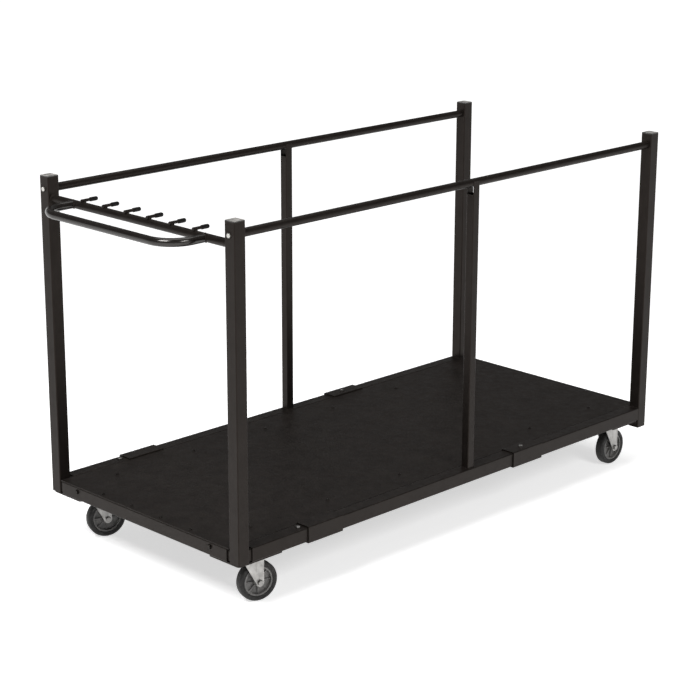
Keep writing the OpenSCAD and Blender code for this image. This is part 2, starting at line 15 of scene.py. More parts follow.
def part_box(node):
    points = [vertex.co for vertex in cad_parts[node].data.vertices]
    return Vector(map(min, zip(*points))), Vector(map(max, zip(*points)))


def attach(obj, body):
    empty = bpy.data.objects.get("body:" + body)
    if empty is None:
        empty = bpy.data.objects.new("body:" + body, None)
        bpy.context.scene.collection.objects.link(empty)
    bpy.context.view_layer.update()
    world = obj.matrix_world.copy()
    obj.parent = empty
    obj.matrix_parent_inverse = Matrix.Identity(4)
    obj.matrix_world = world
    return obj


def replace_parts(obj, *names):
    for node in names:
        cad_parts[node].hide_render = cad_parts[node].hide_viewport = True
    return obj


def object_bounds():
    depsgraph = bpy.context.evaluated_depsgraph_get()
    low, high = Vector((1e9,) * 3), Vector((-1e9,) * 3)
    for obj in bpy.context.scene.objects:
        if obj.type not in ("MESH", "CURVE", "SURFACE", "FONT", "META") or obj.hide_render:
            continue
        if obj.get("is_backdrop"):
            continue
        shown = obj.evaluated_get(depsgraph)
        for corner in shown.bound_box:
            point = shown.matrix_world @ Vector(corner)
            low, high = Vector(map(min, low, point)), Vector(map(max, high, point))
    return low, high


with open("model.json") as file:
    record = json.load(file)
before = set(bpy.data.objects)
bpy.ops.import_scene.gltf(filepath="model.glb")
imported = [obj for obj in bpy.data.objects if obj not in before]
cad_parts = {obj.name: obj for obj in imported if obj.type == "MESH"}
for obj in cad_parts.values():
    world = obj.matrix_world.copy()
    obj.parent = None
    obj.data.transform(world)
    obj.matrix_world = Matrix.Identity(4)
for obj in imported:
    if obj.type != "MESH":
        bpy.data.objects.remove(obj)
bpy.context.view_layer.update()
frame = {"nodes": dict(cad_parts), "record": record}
nodes = frame["nodes"]

MM = 0.001
TURN = 2 * np.pi
X, Y, Z = np.eye(3)
CORNERS = [f"{end}_{side}" for end in ("handle", "load") for side in ("near", "far")]


# Shapes: closed shells worked out as whole arrays

def shell(rings, loop=False):
    """A skin over sections: rings[i, j] is point j of section i. Each section closes round j. The
    end sections close on their middles, or on each other where loop is set."""
    rings = np.asarray(rings, float)
    count, sides, _ = rings.shape
    i = np.arange(count if loop else count - 1)[:, None]
    j = np.arange(sides)
    beside = (j + 1) % sides
    here, there = i * sides, (i + 1) % count * sides
    quads = np.stack([here + j, here + beside, there + beside, there + j], -1).reshape(-1, 4)
    points = rings.reshape(-1, 3)
    caps = np.empty((0, 3), int)
    if not loop:
        middle, end = count * sides, (count - 1) * sides
        points = np.vstack([points, rings[[0, -1]].mean(1)])
        caps = np.vstack([
            np.stack([np.full(sides, middle), beside, j], -1),
            np.stack([np.full(sides, middle + 1), end + j, end + beside], -1),
        ])
    return facing_out(points, quads, caps)


def facing_out(points, quads, caps):
    """Turns all faces round if the volume under them, the sum of a . (b x c) / 6, is negative."""
    corners = np.vstack([quads[:, [0, 1, 2]], quads[:, [0, 2, 3]], caps])
    a, b, c = (points[corners[:, k]] for k in range(3))
    if (a * np.cross(b, c)).sum() < 0:
        quads, caps = quads[:, ::-1], caps[:, ::-1]
    return points, quads, caps


NEARLY_ALONG = 0.9


def placed(solid, at, axis):
    """Carries a shell drawn about +Z so that its Z lies along axis and its origin at a point."""
    points, *faces = solid
    z = np.asarray(axis, float) / np.linalg.norm(axis)
    x = np.cross(Y if abs(z[1]) < NEARLY_ALONG else Z, z)
    x /= np.linalg.norm(x)
    turn = np.stack([x, np.cross(z, x), z], 1)
    return points @ turn.T + np.asarray(at, float), *faces


def piece(name, shells, body, material, crease=35.0):
    """One object at the origin from several shells, smooth but for edges sharper than crease."""
    points, faces, start = [], [], 0
    for shell_points, *groups in shells:
        points.append(shell_points)
        for group in groups:
            faces += (group + start).tolist()
        start += len(shell_points)
    mesh = bpy.data.meshes.new(name)
    mesh.from_pydata(np.vstack(points).tolist(), [], faces)
    mesh.polygons.foreach_set("use_smooth", np.ones(len(faces), bool))
    mesh.set_sharp_from_angle(angle=math.radians(crease))
    mesh.update()
    obj = bpy.data.objects.new(name, mesh)
    bpy.context.scene.collection.objects.link(obj)
    mesh.materials.append(material)
    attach(obj, body)
    return obj


def revolved(profile, steps):
    """Turns a closed profile of (radius, height) pairs about Z: x, y = radius times cos, sin."""
    r, z = np.asarray(profile, float).T
    a = np.linspace(0, TURN, steps, endpoint=False)[:, None]
    rings = np.stack([r * np.cos(a), r * np.sin(a), np.broadcast_to(z, (steps, len(z)))], -1)
    return shell(rings, loop=True)


ROUND = 48
AROUND = np.linspace(0, TURN, ROUND, endpoint=False)


def hexagon(flats):
    """Distance from the middle of a hexagon to its edge, all the way round: half the flats over the
    cosine of the angle to the nearest flat."""
    return flats / 2 / np.cos((AROUND + np.pi / 6) % (np.pi / 3) - np.pi / 6)


def stacked(radii, heights):
    """Sections about Z whose radius may change with the angle: radii[i] is a number or an array."""
    r = np.stack([np.broadcast_to(radius, AROUND.shape) for radius in radii])
    z = np.asarray(heights, float)[:, None] + 0 * AROUND
    return np.stack([r * np.cos(AROUND), r * np.sin(AROUND), z], -1)


STEPS_A_PITCH = 8
THREAD_DEPTH_SHARE = 0.3


def thread(d, pitch, low, high):
    """Screw thread: the radius falls and rises once a pitch, as a triangle wave of height and angle."""
    z = np.linspace(low, high, max(STEPS_A_PITCH, int(abs(high - low) / pitch * STEPS_A_PITCH)))
    wave = np.abs((z[:, None] / pitch - AROUND / TURN) % 1 * 2 - 1)
    return list(d / 2 - THREAD_DEPTH_SHARE * pitch * wave), list(z)


# Each pair is a radius as a share of half the flats, and its drop from the top as a share of the flats
HEAD_CONE_SHARES = ((0.94, 0.0), (1.0, 0.035), (1.08, 0.075), (1.2, 0.12))
HEAD_FOOT_SHARE = 0.97
HEAD_FOOT_BEVEL = 0.3 * MM
TIP_SHARE = 0.42
TIP_BEVEL = 0.5 * MM


def hex_bolt(d, flats, head, length, tail, pitch):
    """A bolt along +Z with its head under z = 0: the head is a hexagon cut by a 30 degree cone, and
    the last stretch of the shank, tail long, is threaded."""
    six = hexagon(flats)
    cone = [np.minimum(six, flats / 2 * share) for share, _ in HEAD_CONE_SHARES]
    cone_z = [share * flats - head for _, share in HEAD_CONE_SHARES]
    turns, turn_z = thread(d, pitch, length - tail, length - TIP_BEVEL)
    radii = cone + [six, HEAD_FOOT_SHARE * six, d / 2, d / 2] + turns + [TIP_SHARE * d]
    z = cone_z + [-HEAD_FOOT_BEVEL, 0, 0, length - tail] + turn_z + [length]
    return shell(stacked(radii, z))


NUT_RIM_SHARE = 0.97
NUT_CHAMFER_SHARE = 0.09
BORE_FLARE, BORE_BEVEL = 0.6 * MM, 0.5 * MM


def hex_nut(d, flats, height):
    """A nut that stands on z = 0: a hexagon cut by a cone at both faces, with a round bore."""
    six = hexagon(flats)
    rim = np.minimum(six, flats / 2 * NUT_RIM_SHARE)
    mouth = d / 2 + BORE_FLARE
    chamfer = NUT_CHAMFER_SHARE * flats
    radii = [d / 2, mouth, rim, six, six, rim, mouth, d / 2]
    z = [BORE_BEVEL, 0, 0, chamfer, height - chamfer, height, height, height - BORE_BEVEL]
    return shell(stacked(radii, z), loop=True)


DOME_ANGLES = np.linspace(0.25, 1.5, 12)
DOME_EDGE_SHARE = 0.35
CROSS_HALF_SHARE, CROSS_REACH_SHARE, CROSS_DEPTH_SHARE = 0.16, 0.62, 0.55
SCREW_SUNK = 0.2 * MM


def pan_head(r, height):
    """Screw head: a dome, height times the root of 1 - (radius/r)^2, with a cross sunk in its middle."""
    q = np.concatenate([[1.0, 1.0], np.cos(DOME_ANGLES)])[:, None]
    x, y = r * q * np.cos(AROUND), r * q * np.sin(AROUND)
    dome = (1 - DOME_EDGE_SHARE) * np.sqrt(np.clip(1 - q ** 2, 0, 1))
    z = height * (DOME_EDGE_SHARE + dome) + 0 * AROUND
    arm = np.minimum(np.abs(x), np.abs(y)) < CROSS_HALF_SHARE * r
    z = z - CROSS_DEPTH_SHARE * height * (arm & (q < CROSS_REACH_SHARE))
    z[0] = -SCREW_SUNK
    return shell(np.stack([x, y, z], -1))


FEWEST_POINTS = 6


def evenly(path, step, loop):
    """The same path with points a step apart, how far along it each point lies, and its length."""
    path = np.vstack([path, path[:1]]) if loop else np.asarray(path, float)
    far = np.concatenate([[0], np.cumsum(np.linalg.norm(np.diff(path, axis=0), axis=1))])
    s = np.linspace(0, far[-1], max(FEWEST_POINTS, int(far[-1] / step)), endpoint=not loop)
    return np.stack([np.interp(s, far, path[:, k]) for k in range(3)], 1), s, far[-1]


BEAD_PITCH, BEAD_SIDES, BEAD_STEPS_A_PITCH = 2.6 * MM, 8, 4
BEAD_WAIST_SHARE, BEAD_SWELL_SHARE = 0.84, 0.2
BEAD_WANDER_SHARE, BEAD_WANDER_LENGTH, BEAD_WANDER_SHIFT = 0.07, 9 * MM, 31
BEAD_END_SHARE, BEAD_END_POWER = 0.05, 10


def bead(path, across, r, pitch=BEAD_PITCH, loop=False):
    """A weld bead: a round section carried along a path. Its radius swells once a pitch, as the root
    of |sin|, wanders slowly, and falls to nothing at free ends. across is a direction, or a function
    of the points, that is never along the path."""
    p, s, total = evenly(path, pitch / BEAD_STEPS_A_PITCH, loop)
    ahead = np.roll(p, -1, 0) - np.roll(p, 1, 0) if loop else np.gradient(p, axis=0)
    ahead /= np.linalg.norm(ahead, axis=1, keepdims=True)
    n = np.broadcast_to(across(p) if callable(across) else np.asarray(across, float), p.shape)
    n = n - (n * ahead).sum(1, keepdims=True) * ahead
    n = n / np.linalg.norm(n, axis=1, keepdims=True)
    b = np.cross(ahead, n)
    ripple = np.sqrt(np.abs(np.sin(np.pi * s / pitch)))
    wander = np.sin(s / BEAD_WANDER_LENGTH + p.sum(1) * BEAD_WANDER_SHIFT)
    size = r * (BEAD_WAIST_SHARE + BEAD_SWELL_SHARE * ripple) * (1 + BEAD_WANDER_SHARE * wander)
    if not loop:
        size = size * np.clip(1 - np.abs(2 * s / total - 1) ** BEAD_END_POWER, BEAD_END_SHARE, 1)
    a = np.linspace(0, TURN, BEAD_SIDES, endpoint=False)[None, :, None]
    rings = p[:, None] + size[:, None, None] * (np.cos(a) * n[:, None] + np.sin(a) * b[:, None])
    return shell(rings, loop)


QUARTER = np.linspace(0, np.pi / 2, 7)


def rounded_square(side, r, at):
    """Level outline of a square about a point, with each corner a quarter circle of radius r."""
    quarter = np.stack([np.cos(QUARTER), np.sin(QUARTER)], 1) * r + side / 2 - r
    turns = [np.array([[c, -s], [s, c]]) for c, s in ((1, 0), (0, 1), (-1, 0), (0, -1))]
    flat = np.vstack([quarter @ turn.T for turn in turns])
    return np.asarray(at) + flat[:, :1] * X + flat[:, 1:] * Y


# Finishes: procedural materials on object coordinates

def add_node(tree, kind, inputs=(), **settings):
    """A new node with its settings, and its inputs set to values or linked to other nodes' outputs."""
    made = tree.nodes.new(kind)
    for key, value in settings.items():
        setattr(made, key, value)
    for key, value in dict(inputs).items():
        if isinstance(value, bpy.types.NodeSocket):
            tree.links.new(value, made.inputs[key])
        else:
            made.inputs[key].default_value = value
    return made


class Finish:
    """A material under construction: its node tree, its shader and the object's coordinates."""

    def __init__(self, name, colour, roughness, metallic=0.0, specular=0.5, tint=(1, 1, 1)):
        self.material = bpy.data.materials.new(name)
        self.material.use_nodes = True
        self.tree = self.material.node_tree
        self.shader = self.tree.nodes["Principled BSDF"]
        self.shader.inputs["Base Color"].default_value = (*colour, 1)
        self.shader.inputs["Roughness"].default_value = roughness
        self.shader.inputs["Metallic"].default_value = metallic
        self.shader.inputs["Specular IOR Level"].default_value = specular
        self.shader.inputs["Specular Tint"].default_value = (*tint, 1)
        self.coords = self.node("ShaderNodeTexCoord").outputs["Object"]

    def node(self, kind, inputs=(), **settings):
        return add_node(self.tree, kind, inputs, **settings)

    def stretched(self, scale):
        """Object coordinates scaled along each axis, for a grain that runs one way."""
        return self.node("ShaderNodeMapping", {"Vector": self.coords, "Scale": scale}).outputs[0]

    def noise(self, scale, detail=4.0, rough=0.55, vector=None):
        """Cloudy noise from 0 to 1."""
        inputs = {"Vector": vector or self.coords, "Scale": scale, "Detail": detail, "Roughness": rough}
        return self.node("ShaderNodeTexNoise", inputs).outputs["Fac"]

    def cells(self, scale, output="Distance"):
        """Small cells: the distance to the middle of each, or a colour of its own."""
        inputs = {"Vector": self.coords, "Scale": scale}
        return self.node("ShaderNodeTexVoronoi", inputs, feature="F1").outputs[output]

    def spread(self, value, low, high, to_low=0.0, to_high=1.0):
        """Carries low..high onto to_low..to_high, held at both ends."""
        inputs = {0: value, 1: low, 2: high, 3: to_low, 4: to_high}
        return self.node("ShaderNodeMapRange", inputs).outputs[0]

    def sum(self, a, b):
        return self.node("ShaderNodeMath", {0: a, 1: b}, operation="ADD").outputs[0]

    def times(self, a, b):
        return self.node("ShaderNodeMath", {0: a, 1: b}, operation="MULTIPLY").outputs[0]

    def blend(self, factor, a, b):
        """Mix of two colours, each a value or an output, by a factor."""
        a, b = (c if isinstance(c, bpy.types.NodeSocket) else (*c, 1) for c in (a, b))
        return self.node("ShaderNodeMix", {0: factor, 6: a, 7: b}, data_type="RGBA").outputs[2]

    def upward(self):
        """How far a face looks up: 0 on walls, 1 on tops."""
        normal = self.node("ShaderNodeNewGeometry").outputs["Normal"]
        return self.node("ShaderNodeSeparateXYZ", {0: normal}).outputs["Z"]

    def wire(self, socket, value):
        self.tree.links.new(value, self.shader.inputs[socket])

    def bump(self, height, distance, strength, under=None):
        """A normal bent by a height, over another bent normal where one is given."""
        inputs = {"Height": height, "Distance": distance, "Strength": strength}
        if under is not None:
            inputs["Normal"] = under
        return self.node("ShaderNodeBump", inputs).outputs["Normal"]


WARM, NEUTRAL = (1.0, 0.83, 0.73), (1.0, 0.97, 0.94)
RUBBED, SLID = (0.052, 0.047, 0.043), (0.130, 0.121, 0.112)
DUST = (0.060, 0.054, 0.049)
DUST_ROUGHENS = 0.18


def powder_coat(
        name, dark, light, roughness,
        scuff=0.35, dusting=0.2, specular=0.17, tint=WARM, rubbed=RUBBED):
    """Satin black powder coat: an even orange-peel skin, faint mottle, thin dust on the tops and a
    few pale rub marks along the tubes or, on the deck, along the way that a load slides in."""
    f = Finish(name, dark, roughness, specular=specular, tint=tint)
    mottle = f.spread(f.noise(14.0, detail=5.0), 0.32, 0.7)
    colour = f.blend(mottle, dark, light)
    tops = f.spread(f.upward(), 0.6, 0.98)
    dust = f.times(tops, f.spread(f.noise(55.0, detail=6.0), 0.42, 0.78))
    colour = f.blend(f.times(dust, dusting), colour, DUST)
    along = f.stretched((0.6, 9.0, 9.0))
    rub = f.spread(f.noise(9.0, detail=8.0, rough=0.7, vector=along), 0.66, 0.78)
    grit = f.spread(f.noise(420.0, detail=2.0), 0.45, 0.6)
    colour = f.blend(f.times(f.times(rub, grit), scuff), colour, rubbed)
    f.wire("Base Color", colour)
    sheen = f.spread(f.noise(33.0, detail=5.0), 0.3, 0.7, roughness - 0.05, roughness + 0.09)
    f.wire("Roughness", f.sum(sheen, f.times(dust, DUST_ROUGHENS)))
    peel = f.bump(f.noise(620.0, detail=2.0, rough=0.4), distance=0.00025, strength=0.25)
    fine = f.noise(1900.0, detail=1.0)
    f.wire("Normal", f.bump(fine, distance=0.00006, strength=0.2, under=peel))
    return f.material


FILM = (0.33, 0.31, 0.27)
FILM_SHARE = 0.3
GRAIN_ROUGHENS = 0.07


def zinc_plate(name, dark, light, roughness):
    """Bright zinc on pressed steel: metal with small cloudy grains, drawn streaks and a dull film."""
    f = Finish(name, light, roughness, metallic=1.0)
    grain = f.spread(f.cells(260.0, "Color"), 0.2, 0.8)
    cloud = f.spread(f.noise(38.0, detail=6.0, rough=0.6), 0.35, 0.68)
    colour = f.blend(cloud, dark, light)
    film = f.spread(f.noise(90.0), 0.5, 0.75)
    colour = f.blend(f.times(film, FILM_SHARE), colour, FILM)
    f.wire("Base Color", colour)
    streak = f.noise(40.0, detail=5.0, rough=0.6, vector=f.stretched((30.0, 30.0, 1.6)))
    rough = f.spread(streak, 0.3, 0.7, roughness - 0.08, roughness + 0.14)
    f.wire("Roughness", f.sum(rough, f.times(grain, GRAIN_ROUGHENS)))
    f.wire("Normal", f.bump(streak, distance=0.00012, strength=0.25))
    return f.material


# The second colour here is a painted highlight: a pale grey laid on upward faces where light falls.
CHALK, PAINTED_HIGHLIGHT_GREY = (0.24, 0.235, 0.225), (0.42, 0.405, 0.385)


def moulded(
        name, dark, light, roughness,
        grain=900.0, depth=0.00012, chalk=0.15, specular=0.5, painted_highlight_share=0.0):
    """Moulded rubber or plastic: a fine pebbled skin, soft mottle, pale chalk in its high spots and,
    where asked, a painted highlight on its tops: a pale grey that stands in for light from above."""
    f = Finish(name, dark, roughness, specular=specular)
    mottle = f.spread(f.noise(45.0, detail=5.0), 0.3, 0.7)
    colour = f.blend(mottle, dark, light)
    dusty = f.spread(f.noise(150.0, detail=6.0, rough=0.65), 0.5, 0.72)
    colour = f.blend(f.times(dusty, chalk), colour, CHALK)
    # Painted highlight: upward faces are lightened toward a pale grey in patches, standing in for light
    # from above.
    tops = f.spread(f.upward(), 0.9, 0.99)
    painted_highlight_mask = f.times(tops, f.spread(f.noise(60.0, detail=5.0), 0.25, 0.6))
    colour = f.blend(f.times(painted_highlight_mask, painted_highlight_share), colour, PAINTED_HIGHLIGHT_GREY)
    f.wire("Base Color", colour)
    f.wire("Roughness", f.spread(f.noise(80.0), 0.3, 0.7, roughness - 0.07, roughness + 0.08))
    f.wire("Normal", f.bump(f.cells(grain), distance=depth, strength=0.35))
    return f.material


BLACK = (0.0080, 0.0065, 0.0057)
COAT = powder_coat("black_powder_coat", BLACK, (0.0112, 0.0093, 0.0082), roughness=0.34)
GRIP = powder_coat(
    "handle_coat", BLACK, (0.0100, 0.0083, 0.0074), roughness=0.15,
    scuff=0.2, dusting=0.05, specular=0.55, tint=NEUTRAL)
DECK = powder_coat(
    "deck_coat", BLACK, (0.0125, 0.0106, 0.0095), roughness=0.42,
    scuff=0.7, dusting=0.14, rubbed=SLID)
ZINC = zinc_plate("bright_zinc", (0.25, 0.245, 0.238), (0.42, 0.412, 0.40), roughness=0.30)
DULL_ZINC = zinc_plate("dull_zinc", (0.22, 0.215, 0.208), (0.36, 0.352, 0.34), roughness=0.36)
BOLT_ZINC = zinc_plate("bolt_zinc", (0.50, 0.49, 0.46), (0.74, 0.73, 0.70), roughness=0.24)
OXIDE = powder_coat(
    "black_oxide", (0.0050, 0.0045, 0.0042), (0.0085, 0.0077, 0.0072), roughness=0.30)
TREAD = moulded(
    "tread_rubber", (0.0115, 0.0107, 0.0101), (0.0190, 0.0179, 0.0171), roughness=0.62,
    specular=0.4)
HUB = moulded(
    "wheel_core_plastic", (0.128, 0.124, 0.119), (0.180, 0.174, 0.168), roughness=0.42,
    grain=700.0, depth=0.00008)
# The caps get the painted highlight on their tops in full.
CAP = moulded(
    "cap_plastic", (0.018, 0.0170, 0.0162), (0.027, 0.0258, 0.0246), roughness=0.24,
    grain=1200.0, depth=0.00004, chalk=0.10, painted_highlight_share=1.0)
VINYL = moulded(
    "peg_tip_vinyl", (0.0060, 0.0058, 0.0056), (0.0100, 0.0097, 0.0094), roughness=0.34,
    grain=300.0, depth=0.00004, chalk=0.03, specular=0.12)

SLOT_FINISH = {
    "black_coat": COAT, "zinc": ZINC, "dark_bolt": OXIDE, "cap_plastic": CAP,
    "tip_vinyl": VINYL, "tread_rubber": TREAD, "wheel_core": HUB,
}
for subpart in frame["record"]["subparts"]:
    skin = nodes[subpart["node"]].data.materials
    skin.clear()
    skin.append(SLOT_FINISH[subpart["material_slot"]])
nodes["deck_sheet"].data.materials[0] = DECK
nodes["push_handle"].data.materials[0] = GRIP
for name in ("rail_bolts", "caster_bolts", "caster_nuts", "kingpins"):
    nodes[name].data.materials[0] = BOLT_ZINC


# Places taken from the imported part

def span(node):
    """Lowest and highest corner of a node as arrays."""
    low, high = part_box(node)
    return np.array(low), np.array(high)


post_low, post_high = span("post_handle_near")
frame_low = post_low
frame_high = span("post_load_far")[1]
post_side = post_high[0] - post_low[0]
base_z = post_low[2]
rail_low, rail_high = span("top_rail_near")
rail_z = (rail_low[2] + rail_high[2]) / 2
end_low, end_high = span("handle_end_rail")
end_axis = (end_low + end_high) / 2
tube_r = (end_high[2] - end_low[2]) / 2
ENDS = ((frame_low[0], 1.0), (frame_high[0], -1.0))
SIDES = ((frame_low[1], 1.0), (frame_high[1], -1.0))
JOINT_OF = {joint["child"]: joint for joint in frame["record"]["behaviour"]["joints"]}


def wheel_axis(corner):
    """Middle of a wheel and the direction of its axle, as arrays."""
    joint = JOINT_OF[f"wheel_{corner}"]
    return np.array(joint["pos_m"]), np.array(joint["axis"])


# Bolts and nuts with cut heads and threads, in place of the plain ones

BOLT_D, BOLT_FLATS, BOLT_HEAD, BOLT_PITCH = 8 * MM, 13 * MM, 5.3 * MM, 1.25 * MM
PAST_NUT = 3 * MM


def frame_bolt(length, tail):
    """A bolt of the frame's one thread, with its last stretch, tail long, threaded."""
    return hex_bolt(BOLT_D, BOLT_FLATS, BOLT_HEAD, length, tail, BOLT_PITCH)


PLUG_REACH, PLUG_TAIL = 25 * MM, 20 * MM
rail_bolt = frame_bolt(post_side + PLUG_REACH, PLUG_TAIL)
bolts = [
    placed(rail_bolt, (x, y + inward * post_side / 2, rail_z), (along, 0, 0))
    for x, along in ENDS for y, inward in SIDES
]
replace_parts(piece("rail_bolts_cut", bolts, "frame", BOLT_ZINC), "rail_bolts")

BEARER_REACH = 20.8 * MM
bearer_low, bearer_high = span("deck_bearer_near")
bearer = (bearer_low + bearer_high) / 2
drop_low, drop_high = span("base_end_rail_load")
drop_bolt = frame_bolt(post_side + BEARER_REACH, PLUG_TAIL)
bolts = []
for y in (bearer[1], -bearer[1]):
    bolts.append(placed(rail_bolt, (frame_low[0], y, bearer[2]), X))
    bolts.append(placed(drop_bolt, (frame_high[0] - post_side / 2, y, drop_low[2]), Z))
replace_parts(piece("bearer_bolts_cut", bolts, "frame", OXIDE), "bearer_bolts")

SPLICE_LENGTH, SPLICE_TAIL = 22 * MM, 12 * MM
splice_bolt = frame_bolt(SPLICE_LENGTH, SPLICE_TAIL)
stub_low, stub_high = span("corner_stub_handle_near")
collar_high = span("splice_collar_near")[1]
pin_low, pin_high = span("splice_bolts")
head_r = BOLT_FLATS / math.sqrt(3)
splices = ((pin_low[0] + head_r, stub_high[2]), (pin_high[0] - head_r, collar_high[2]))
side_axis = (stub_low[1] + stub_high[1]) / 2
bolts = [placed(splice_bolt, (x, y, z), -Z) for x, z in splices for y in (side_axis, -side_axis)]
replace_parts(piece("splice_bolts_cut", bolts, "frame", DULL_ZINC), "splice_bolts")

PLATE_BOLT_X, PLATE_BOLT_Y, PLATE_TAIL, NUT = 80 * MM, 60 * MM, 10 * MM, 6.5 * MM
plate_z = span("caster_plate_handle_near")[0][2]
pad_z = span("caster_pads")[1][2]
plate_bolt = frame_bolt(pad_z - plate_z + NUT + PAST_NUT, PLATE_TAIL)
plate_nut = hex_nut(BOLT_D, BOLT_FLATS, NUT)
bolts, nuts = [], []
for corner in CORNERS:
    low, high = span(f"caster_plate_{corner}")
    middle = (low + high) / 2
    for x in (-1, 1):
        for y in (-1, 1):
            at = middle + [x * PLATE_BOLT_X / 2, y * PLATE_BOLT_Y / 2, 0]
            bolts.append(placed(plate_bolt, (at[0], at[1], plate_z), Z))
            nuts.append(placed(plate_nut, (at[0], at[1], pad_z), Z))
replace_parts(piece("caster_bolts_cut", bolts, "frame", BOLT_ZINC), "caster_bolts")
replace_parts(piece("caster_nuts_cut", nuts, "frame", BOLT_ZINC), "caster_nuts")

AXLE_D, AXLE_FLATS, AXLE_HEAD, AXLE_PITCH = 10 * MM, 16 * MM, 6.4 * MM, 1.5 * MM
AXLE_NUT, AXLE_TAIL = 8 * MM, 13 * MM
fork_low, fork_high = span("caster_fork_load_near")
fork_half = (fork_high[1] - fork_low[1]) / 2
axle_length = 2 * fork_half + AXLE_NUT + PAST_NUT
axle_bolt = hex_bolt(AXLE_D, AXLE_FLATS, AXLE_HEAD, axle_length, AXLE_TAIL, AXLE_PITCH)
axle_nut = hex_nut(AXLE_D, AXLE_FLATS, AXLE_NUT)
for corner in CORNERS:
    middle, axis = wheel_axis(corner)
    solids = [
        placed(axle_bolt, middle - fork_half * axis, axis),
        placed(axle_nut, middle + fork_half * axis, axis),
    ]
    made = piece(f"axle_bolt_{corner}", solids, f"caster_{corner}", DULL_ZINC)
    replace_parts(made, f"caster_axle_{corner}")


# Stiffening ribs pressed out of the forks' legs

RIB_LENGTH, RIB_HALF, RIB_HEIGHT, RIB_SUNK = 42 * MM, 2.6 * MM, 1.5 * MM, 0.3 * MM
RIB_AHEAD, RIB_BELOW_TOP = 14 * MM, 9 * MM
RIB_SECTIONS, RIB_SIDES, RIB_CREASE = 25, 17, 60.0
RIB_LEAST = 0.0025


def pressed_rib():
    """A blister along Z: its section is half an ellipse over y = 0, and both ends close as the fourth
    root of 1 - (2 z / length)^4."""
    z = np.linspace(-1, 1, RIB_SECTIONS)[:, None]
    a = np.linspace(0, np.pi, RIB_SIDES)[None, :]
    swell = np.maximum(1 - z ** 4, RIB_LEAST) ** 0.25
    across, out = RIB_HALF * swell * np.cos(a), RIB_HEIGHT * swell * np.sin(a) - RIB_SUNK
    return shell(np.stack([across, out, z * RIB_LENGTH / 2 + 0 * a], -1))


rib_points, *rib_faces = pressed_rib()
for corner in CORNERS:
    middle, axis = wheel_axis(corner)
    ahead = np.cross(axis, Z)
    at = middle - RIB_AHEAD * ahead
    at[2] = fork_high[2] - RIB_BELOW_TOP - RIB_LENGTH / 2
    ribs = []
    for side in (-1, 1):
        turn = np.stack([side * ahead, side * axis, Z])
        ribs.append((rib_points @ turn + at + side * fork_half * axis, *rib_faces))
    piece(f"fork_ribs_{corner}", ribs, f"caster_{corner}", ZINC, RIB_CREASE)


# Treads with a parting ridge, rounded shoulders and a moulded ring on each side

# Each pair is how far a point of the tread's side lies out from the core, and in from the side's face
TREAD_SIDE = MM * np.array([
    [0, 2.6], [0.6, 1.2], [2.0, 0.6], [2.8, 0], [3.8, 0], [4.5, 0.7], [6.0, 0.7], [6.8, 0]])
SHOULDER_R, SHOULDER_DROP = 8 * MM, 0.15 * MM
RIDGE_DROP, RIDGE_FOOT_HALF, RIDGE_TOP_HALF = 0.2 * MM, 1.2 * MM, 0.5 * MM
CORE_GAP = 0.02 * MM
TREAD_STEPS = 144


def tread_profile(inner, outer, half):
    """Half a tread from the core to the crown, as (radius, offset) pairs, mirrored about its middle.
    Its shoulder is a quarter circle: radius and offset follow the sine and cosine of an angle."""
    a = np.linspace(0, np.pi / 2, 9)
    shoulder = np.stack([
        outer - SHOULDER_R + SHOULDER_R * np.sin(a), half - SHOULDER_R + SHOULDER_R * np.cos(a)], 1)
    shoulder[-1, 0] -= SHOULDER_DROP
    wall = [inner, half] + TREAD_SIDE * [1, -1]
    crown = [[outer - RIDGE_DROP, RIDGE_FOOT_HALF], [outer, RIDGE_TOP_HALF]]
    side = np.vstack([wall, shoulder, crown])
    return np.vstack([side, (side * [1, -1])[::-1]])


low, high = span("wheel_tread_load_near")
core_low, core_high = span("wheel_core_load_near")
core_r = (core_high[0] - core_low[0]) / 2 + CORE_GAP
tread_ring = revolved(tread_profile(core_r, (high[2] - low[2]) / 2, (high[1] - low[1]) / 2), TREAD_STEPS)
for corner in CORNERS:
    tread = placed(tread_ring, *wheel_axis(corner))
    made = piece(f"tread_{corner}", [tread], f"wheel_{corner}", TREAD)
    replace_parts(made, f"wheel_tread_{corner}")


# Welds, under the same coat as the tubes

HEAVY_BEAD, CORNER_BEAD, CROSS_BEAD, PEG_BEAD, SADDLE_BEAD = np.array([2.2, 2.0, 1.8, 1.7, 1.5]) * MM
BEAD_STOPS_SHORT = 3 * MM
circle = np.linspace(0, TURN, 121)[:-1]

# The handle's legs are coped: each seam follows the end rail's round face. The share keeps the root
# of 1 - sin^2 from coming to a point where the leg is as wide as the rail.
COPE_SHARE = 0.985
leg_y = span("push_handle")[1][1] - tube_r
welds = []
for y in (-leg_y, leg_y):
    seam = np.stack([
        end_axis[0] - tube_r * np.sqrt(1 - (COPE_SHARE * np.sin(circle)) ** 2),
        y + tube_r * np.cos(circle), end_axis[2] + tube_r * np.sin(circle)], 1)
    hub = np.array([0, y, end_axis[2]])
    welds.append(bead(seam, lambda p, c=hub: (p - c) * [0, 1, 1], HEAVY_BEAD, loop=True))
piece("handle_welds", welds, "frame", COAT)

welds = []
for y in (end_low[1], end_high[1]):
    seam = end_axis + np.outer(np.cos(circle), X) * tube_r + np.outer(np.sin(circle), Z) * tube_r
    welds.append(bead(seam * [1, 0, 1] + [0, y, 0], Y, HEAVY_BEAD, loop=True))
piece("end_rail_welds", welds, "frame", COAT)

